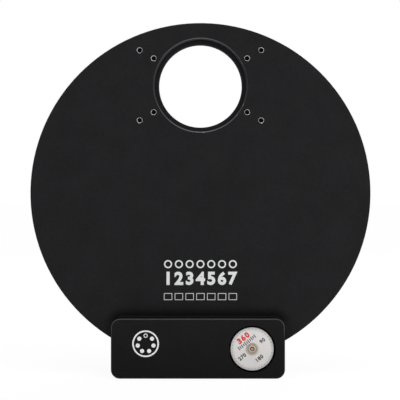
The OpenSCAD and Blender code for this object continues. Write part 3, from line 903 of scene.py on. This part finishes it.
# %% One tapped hole
STUD_R = 1.25 * MM
SINK = 0.5 * MM
LIFT = 0.035 * MM
BELOW = 0.03 * MM
LINER_T = 0.03 * MM
HOLE_PITCH = 0.5 * MM
bpy.ops.mesh.primitive_cone_add(
    vertices=40, radius1=STUD_R - LIFT, radius2=STUD_R + SINK - BELOW - LIFT,
    depth=SINK - BELOW, location=(0, 0, -(SINK + BELOW) / 2), end_fill_type="NOTHING",
)
liner = added()
edit(liner)
pick(liner, lambda p: p.z < -0.9 * SINK, "EDGE")
bpy.ops.mesh.extrude_region_move(TRANSFORM_OT_translate={"value": (0, 0, -SINK)})
leave()
modify(liner, "SOLIDIFY", thickness=LINER_T, offset=-1)
mend(liner, 0.001 * MM)
coil = thread(
    STUD_R - LINER_T, HOLE_PITCH, start=-2.75 * MM, turns=4, steps=20, depth=0.13 * MM
)
hole = joined([coil, liner])
print("one tapped hole:", len(hole.data.polygons), "faces")

# %% Holes on both faces
HOLE_ANGLES = [math.radians(a) for a in (30, 150, 210, 330)]
HOLE_RINGS = (40.0 * MM, 30.75 * MM)


def tapped_holes(name, place, turn):
    copies = []
    for ring in HOLE_RINGS:
        for angle in HOLE_ANGLES:
            spot = (ring * math.cos(angle), ring * math.sin(angle), 0)
            copies.append(put(copy_of(hole), spot))
    piece = stand(joined(copies), place, turn)
    return done(piece, name, cut_edge.material, "case", smooth=35)


tapped_holes("front_tapped_holes", APERTURE, FRONTWARDS)
tapped_holes("rear_tapped_holes", (0, BACK_Y, APERTURE.z), BACKWARDS)
bpy.data.objects.remove(hole)

# %% [markdown]
# ## The legend on the face
# A light grey legend is screen-printed under the wheel's axis. Here it is a generic one: a ring
# for each of the seven positions, its number, and a box to write the filter's name in. Numbers
# come from text objects that are made meshes and given the thickness of a coat of ink.


# %% Printed marks
INK_T = 0.03 * MM


def number(text, height, bolder=0.0, spacing=1.0):
    """A printed number that lies flat, centred on the origin, with its foot on the ground."""
    bpy.ops.object.text_add()
    piece = bpy.context.object
    piece.data.body = text
    piece.data.size = height
    piece.data.offset = bolder
    piece.data.space_character = spacing
    piece.data.extrude = INK_T / 2
    piece.data.resolution_u = 5
    only(piece)
    bpy.ops.object.convert(target="MESH")
    piece = bpy.context.object
    bpy.ops.object.origin_set(type="ORIGIN_GEOMETRY", center="BOUNDS")
    scale = height / piece.dimensions.y
    piece.scale = (scale, scale, 1)
    put(piece, (0, 0, INK_T / 2))
    mend(piece, 0.001 * MM)
    return piece


def outline(width, height, line, vertices=4):
    """A printed outline: a ring, or a box where it has four corners."""
    turn = math.pi / 4 if vertices == 4 else 0
    radius = math.sqrt(0.5) if vertices == 4 else 0.5
    bpy.ops.mesh.primitive_circle_add(
        vertices=vertices, radius=radius, fill_type="NGON", rotation=(0, 0, turn)
    )
    piece = added()
    piece.scale = (width, height, 1)
    settle(piece)
    edit(piece)
    bpy.ops.mesh.select_all(action="SELECT")
    bpy.ops.mesh.inset(thickness=line)
    bpy.ops.mesh.delete(type="FACE")
    bpy.ops.mesh.select_all(action="SELECT")
    bpy.ops.mesh.extrude_region_move(TRANSFORM_OT_translate={"value": (0, 0, INK_T)})
    leave()
    mend(piece, 0.001 * MM)
    return piece


print("ink:", round(INK_T / MM, 3), "mm thick")

# %% Rings, numbers and boxes
LEGEND = Vector((0, FACE_Y, AXIS_Z - 52.4 * MM))
STEP = 6.15 * MM
NUMBER_H = 7.6 * MM
NUMBER_BOLDER = 0.32 * MM
RING_D = 4.6 * MM
RING_LINE = 0.75 * MM
RING_UP = 11.9 * MM
BOX_W = 4.7 * MM
BOX_H = 3.9 * MM
BOX_LINE = 0.3 * MM
BOX_DOWN = -6.6 * MM

marks = {"position_rings": [], "position_numbers": [], "name_boxes": []}
for k in range(POSITIONS):
    x = (k - (POSITIONS - 1) / 2) * STEP
    digit = number(str(k + 1), NUMBER_H, NUMBER_BOLDER)
    marks["position_numbers"].append(put(digit, (x, NUMBER_H / 2, 0)))
    ring = outline(RING_D, RING_D, RING_LINE, vertices=32)
    marks["position_rings"].append(put(ring, (x, RING_UP, 0)))
    box = outline(BOX_W, BOX_H, BOX_LINE)
    marks["name_boxes"].append(put(box, (x, BOX_DOWN, 0)))
for name, pieces in marks.items():
    done(stand(joined(pieces), LEGEND), name, legend_ink, "case")

# %% [markdown]
# ## The end of the motor
# The film on the motor carries a plain dial: short marks all round, the degrees of a turn in four
# places, the full turn in red, and a row of strokes under it. The whole dial is turned a little,
# as such a motor sits on its two ears. A mark is a thin block, made once and copied round.

# %% Dial marks
FILM = Vector((MOTOR.x, low_of("motor_dial").y, MOTOR.z))
DIAL_TURN = math.radians(39)
MARK_R = 11.1 * MM
MARKS = 36
MARK_SIZE = (0.16 * MM, 0.7 * MM)
ROW_R = 4.7 * MM
ROW_STEP = 1.12 * MM
ROW_STROKES = 11
ROW_WIDTH = 0.5 * MM
ROW_LENGTHS = (2.1 * MM, 1.5 * MM)


def stroke(width, length, place):
    """A printed stroke that lies flat."""
    bpy.ops.mesh.primitive_cube_add(size=1)
    piece = added()
    piece.scale = (width, length, INK_T)
    return put(piece, place)


mark = stroke(*MARK_SIZE, (0, MARK_R, INK_T / 2))
marks_ring = ring_of(mark, [k * FULL_TURN / MARKS for k in range(MARKS)])
row = []
for k in range(ROW_STROKES):
    x = (k - (ROW_STROKES - 1) / 2) * ROW_STEP
    row.append(stroke(ROW_WIDTH, ROW_LENGTHS[k % 2], (x, ROW_R, INK_T / 2)))
dial = joined([marks_ring, *row])
put(dial, turn=(0, 0, DIAL_TURN))
done(stand(dial, FILM), "dial_marks", black_ink, "case")

# %% Dial numbers
FULL_TURN_MARK = "360"
dial_numbers = [
    # text, degrees round the dial, distance out, height, bolder, spacing
    (FULL_TURN_MARK, 90, 7.9 * MM, 3.5 * MM, 0.2 * MM, 1.3),
    ("90", 0, 7.3 * MM, 2.3 * MM, 0.1 * MM, 1.15),
    ("180", -90, 6.6 * MM, 2.3 * MM, 0.1 * MM, 1.15),
    ("270", 180, 7.1 * MM, 2.3 * MM, 0.1 * MM, 1.15),
]
black_numbers = []
for text, degrees, out, height, bolder, spacing in dial_numbers:
    angle = DIAL_TURN + math.radians(degrees)
    spot = (out * math.cos(angle), out * math.sin(angle), 0)
    digits = put(number(text, height, bolder, spacing), spot, (0, 0, DIAL_TURN))
    if text == FULL_TURN_MARK:
        done(stand(digits, FILM), "dial_full_turn", red_ink, "case")
    else:
        black_numbers.append(digits)
done(stand(joined(black_numbers), FILM), "dial_numbers", black_ink, "case")

# %% [markdown]
# ## The lip of the bush
# The bush in the middle of the dial has a rounded lip round the shaft, which running has polished.
# It could be cut from a cylinder with bevels. A torus pressed flatter gives the round lip at once.

# %% Bush lip
BUSH_TOP = Vector((MOTOR.x, low_of("motor_rear_bush").y, MOTOR.z))
LIP_R = 1.6 * MM
LIP_WIRE_R = 0.3 * MM
LIP_FLATTER = 0.6
bpy.ops.mesh.primitive_torus_add(
    major_radius=LIP_R, minor_radius=LIP_WIRE_R, major_segments=64, minor_segments=16
)
lip = added()
edit(lip)
bpy.ops.mesh.select_all(action="SELECT")
bpy.ops.transform.resize(value=(1, 1, LIP_FLATTER), center_override=(0, 0, 0))
leave()
done(stand(lip, BUSH_TOP), "bush_lip", lip_bronze, "case", smooth=60)

# %% [markdown]
# ## The socket's contacts
# The plastic block in the USB socket carries four gold-plated contacts, two above and two below.
# Each is a strip with rounded edges, and the shell has a sprung tongue on each side that grips the
# plug.

# %% Contacts
block_low, block_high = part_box("usb_contact_block")
block = (block_low + block_high) / 2
CONTACT = (6.4 * MM, 1.0 * MM, 0.14 * MM)
CONTACT_BEVEL = 0.05 * MM
CONTACT_OUT = 0.1 * MM
PAIR_HALF = 0.75 * MM


def strip(size, bevel):
    """A flat metal strip with softened edges."""
    bpy.ops.mesh.primitive_cube_add(size=1)
    piece = added()
    piece.scale = size
    settle(piece)
    modify(piece, "BEVEL", width=bevel, segments=2)
    return piece


contacts = []
for z in (block_low.z, block_high.z):
    for pair in (-1, 1):
        spot = (block.x - CONTACT_OUT, block.y + pair * PAIR_HALF, z)
        contacts.append(put(strip(CONTACT, CONTACT_BEVEL), spot))
done(joined(contacts), "usb_contacts", gold, "case", smooth=30)

# %% Tongues
shell_low, shell_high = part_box("usb_socket")
shell = (shell_low + shell_high) / 2
TONGUE = (5.0 * MM, 2.4 * MM, 0.2 * MM)
TONGUE_BEVEL = 0.06 * MM
TONGUE_IN = 3.6 * MM
SPRUNG = 0.35 * MM
WALL_UP = 4.3 * MM

tongues = []
for side, turn in ((-1, 0), (1, math.pi)):
    tongue = strip(TONGUE, TONGUE_BEVEL)
    edit(tongue)
    pick(tongue, lambda p: p.x > 0)
    bpy.ops.transform.translate(value=(0, 0, SPRUNG))
    leave()
    spot = (shell_low.x + TONGUE_IN, shell.y, block.z + side * WALL_UP)
    tongues.append(put(tongue, spot, (turn, 0, 0)))
done(joined(tongues), "usb_tongues", metals["plated_shell"], "case", smooth=30)

# %% [markdown]
# ## Knurled filter cells
# A filter is screwed into the carousel by its rim, so the rim is knurled. A tube gets twice as
# many sides as there are teeth, every second edge is drawn in, and Solidify gives it a wall. It is
# modelled once and copied to each of the six filters.

# %% Knurls
TEETH = 96
CELL_R = (high_of("filter_cell_1").x - low_of("filter_cell_1").x) / 2
TOOTH_R = CELL_R + 0.15 * MM
VALLEY_R = CELL_R + 0.02 * MM
KNURL_W = 2.9 * MM
KNURL_IN = 0.4 * MM
bpy.ops.mesh.primitive_cylinder_add(
    vertices=2 * TEETH, radius=TOOTH_R, depth=KNURL_W, end_fill_type="NOTHING"
)
knurl = added()
edit(knurl)
pick(knurl, lambda p: round(math.atan2(p.y, p.x) * TEETH / math.pi) % 2 == 0)
dip = VALLEY_R / TOOTH_R
bpy.ops.transform.resize(value=(dip, dip, 1), center_override=(0, 0, 0))
leave()
modify(knurl, "SOLIDIFY", thickness=0.1 * MM, offset=-1)
mend(knurl)
for k in range(1, POSITIONS):
    centre = middle(f"filter_cell_{k}")
    centre.y = high_of(f"filter_cell_{k}").y - KNURL_IN - KNURL_W / 2
    piece = put(copy_of(knurl), centre, FRONTWARDS)
    done(piece, f"cell_knurl_{k}", black.material, "carousel")
bpy.data.objects.remove(knurl)

# %% [markdown]
# ## The studio
# The wheel stands on a plain white table in even light. The table is nearly as bright as the
# backdrop to the camera, and more so further off, so that its far edge does not show. Near the foot
# it keeps a soft shadow. The world is white where it is seen, straight or in a reflection, and
# dimmer where it only lights, so that the lamps still shape the edges.


# %% Table
def seen(start):
    """1 for a ray that comes from the camera, a reflection or glass, and 0 for plain light."""
    rays = start.node("LightPath", output="Is Camera Ray")
    rays = rays + start.node("LightPath", output="Is Glossy Ray")
    rays = rays + start.node("LightPath", output="Is Transmission Ray")
    return rays.maths("MINIMUM", 1.0)


GLOW_NEAR = 0.92
GLOW_FAR = 0.985
HALF_WAY = 0.5
FADE = 0.3
bpy.ops.mesh.primitive_plane_add(size=40, location=(0, 0.8, 0))
table = added()
table.name = "table"
white = Finish("table_white", Roughness=0.9, Specular_IOR_Level=0.1)
white.shader.inputs["Base Color"].default_value = (0.86, 0.86, 0.86, 1)
from_foot = white.start.node(
    "VectorMath", {0: white.place}, output="Value", operation="LENGTH"
)
far = from_foot.above(HALF_WAY, FADE)
share = seen(white.start) * (far * (GLOW_FAR - GLOW_NEAR) + GLOW_NEAR)
glow = white.start.node("Emission", {"Strength": 1.0})
lit = Wire(white.tree, white.shader.outputs[0])
shown = white.start.node("MixShader", {0: share, 1: lit, 2: glow})
out = white.tree.nodes["Material Output"]
white.tree.links.new(shown.socket, out.inputs["Surface"])
table.data.materials.append(white.material)
print("table glow:", GLOW_NEAR, "near the foot,", GLOW_FAR, "far off")

# %% World
AMBIENT = 0.42
world = bpy.data.worlds.new("studio")
bpy.context.scene.world = world
world.use_nodes = True
tree = world.node_tree
strength = AMBIENT + seen(Wire(tree)) * (1 - AMBIENT)
background = tree.nodes["Background"]
background.inputs["Color"].default_value = (1, 1, 1, 1)
tree.links.new(strength.socket, background.inputs["Strength"])
print("world: 1 where it is seen and", AMBIENT, "where it lights")


# %% Softboxes
def softbox(name, place, aim, size, watts):
    """A rectangular lamp that faces a point."""
    data = bpy.data.lights.new(name, "AREA")
    data.shape = "RECTANGLE"
    data.size, data.size_y = size
    data.energy = watts
    lamp = bpy.data.objects.new(name, data)
    bpy.context.scene.collection.objects.link(lamp)
    lamp.location = place
    lamp.rotation_euler = (Vector(aim) - Vector(place)).to_track_quat("-Z", "Y").to_euler()
    print(name, watts, "W")


CENTRE = (0, 0, 0.1)
softbox("lamp_above", (0.0, -0.28, 0.95), CENTRE, size=(1.1, 0.6), watts=6.3)
softbox("lamp_left", (-0.95, -0.55, 0.4), CENTRE, size=(0.5, 0.8), watts=1.6)
softbox("lamp_right", (0.95, -0.6, 0.4), CENTRE, size=(0.5, 0.8), watts=6.4)
softbox("lamp_behind", (0.35, 1.1, 0.7), CENTRE, size=(0.9, 0.7), watts=9.0)

# %% Camera
LENS = 94.73
SENSOR = 36
DISTANCE = 0.6
camera_data = bpy.data.cameras.new("camera")
camera_data.lens = LENS
camera_data.sensor_width = SENSOR
camera = bpy.data.objects.new("camera", camera_data)
bpy.context.scene.collection.objects.link(camera)
camera.location = (-0.25 * MM, FACE_Y - DISTANCE, AXIS_Z - 3.94 * MM)
camera.rotation_euler = (math.pi / 2, 0, 0)
bpy.context.scene.camera = camera
bpy.context.scene.view_settings.view_transform = "Standard"
print("camera:", DISTANCE, "m from the face, lens", LENS, "mm")
